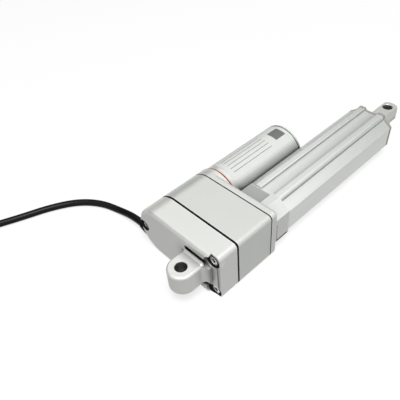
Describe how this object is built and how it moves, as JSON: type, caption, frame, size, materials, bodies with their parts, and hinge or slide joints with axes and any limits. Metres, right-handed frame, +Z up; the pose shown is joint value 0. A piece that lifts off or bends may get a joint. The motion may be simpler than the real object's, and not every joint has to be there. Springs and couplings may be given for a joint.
{
  "type": "electric linear actuator",
  "caption": "Electric linear actuator with a parallel motor, cast gearbox, ribbed tube and eyes for cross pins; the rod slides out along the tube.",
  "frame": {"origin": "middle of the rear eye, on the lead screw's axis", "axes": "+X along the lead screw to the rod's eye, +Y to the motor, +Z up along the eyes' pins"},
  "size_m": [0.3741, 0.2748, 0.0396],
  "materials": {
    "cast_silver": "silver painted die casting, satin",
    "gasket_black": "matt black rubber",
    "anodised": "clear anodised extrusion, satin",
    "can_silver": "silver lacquered steel can",
    "seal_orange": "orange rubber",
    "bright_steel": "plain bright steel",
    "zinc_screw": "zinc plated",
    "rod_metal": "polished stainless tube",
    "eye_metal": "machined and blasted",
    "white_nylon": "moulded nylon",
    "black_plastic": "moulded black plastic",
    "board_green": "printed circuit board",
    "bronze": "sintered bronze",
    "copper": "enamelled copper",
    "magnet": "dark ferrite",
    "cable_black": "smooth black jacket",
    "lead_colours": "insulated leads with tinned tips"
  },
  "bodies": {
    "housing": {"rear_cover": "cast_silver", "rear_gasket": "gasket_black", "gear_housing": "cast_silver", "front_gasket": "gasket_black", "front_cover": "cast_silver", "cover_screws": "zinc_screw", "rear_bush": "bronze", "idler_pin": "bright_steel", "bearing_outer_race": "bright_steel", "bearing_balls": "bright_steel", "motor_can": "can_silver", "motor_end_cap": "can_silver", "motor_end_seal": "gasket_black", "motor_base_seal": "seal_orange", "motor_magnets": "magnet", "motor_front_bush": "bronze", "motor_rear_bush": "bronze", "brush_holder": "black_plastic", "brushes": "magnet", "motor_screws": "zinc_screw", "outer_tube": "anodised", "tube_screws": "zinc_screw", "tube_end_cap": "cast_silver", "end_cap_screws": "zinc_screw", "rod_guide_bush": "white_nylon", "rod_wiper": "gasket_black", "switch_strip": "board_green", "limit_switches": "black_plastic", "cable_gland": "cable_black", "power_cable": "cable_black", "cable_coil": "cable_black", "cable_tie": "black_plastic", "cable_end": "cable_black", "cable_leads": "lead_colours"},
    "rotor": {"motor_shaft": "bright_steel", "armature_core": "bright_steel", "armature_windings": "copper", "commutator": "copper", "motor_pinion": "bright_steel"},
    "intermediate": {"intermediate_gear": "white_nylon"},
    "screw": {"lead_screw": "bright_steel", "output_gear": "white_nylon", "gear_pin": "bright_steel", "spacer_sleeve": "bright_steel", "bearing_inner_race": "bright_steel", "screw_end_bush": "white_nylon"},
    "rod": {"inner_rod": "rod_metal", "drive_nut": "white_nylon", "rod_end": "eye_metal", "rod_end_pin": "bright_steel"}
  },
  "joints": [
    {"name": "motor_spin", "type": "hinge", "parent": "housing", "child": "rotor", "pos_m": [0, 0.038, 0], "axis": [-1, 0, 0], "range_deg": [0, 104833]},
    {"name": "intermediate_spin", "type": "hinge", "parent": "housing", "child": "intermediate", "pos_m": [0, 0.0196, 0], "axis": [-1, 0, 0], "range_deg": [-37001, 0]},
    {"name": "screw_spin", "type": "hinge", "parent": "housing", "child": "screw", "pos_m": [0, 0, 0], "axis": [-1, 0, 0], "range_deg": [0, 12001]},
    {"name": "rod_slide", "type": "slide", "parent": "housing", "child": "rod", "axis": [1, 0, 0], "range_m": [0, 0.1]}
  ],
  "couplings": [
    {"joint": "intermediate_spin", "follows": "motor_spin", "ratio": -0.35294},
    {"joint": "screw_spin", "follows": "motor_spin", "ratio": 0.11447},
    {"joint": "rod_slide", "follows": "motor_spin", "m_per_rad": 0.000054654}
  ]
}
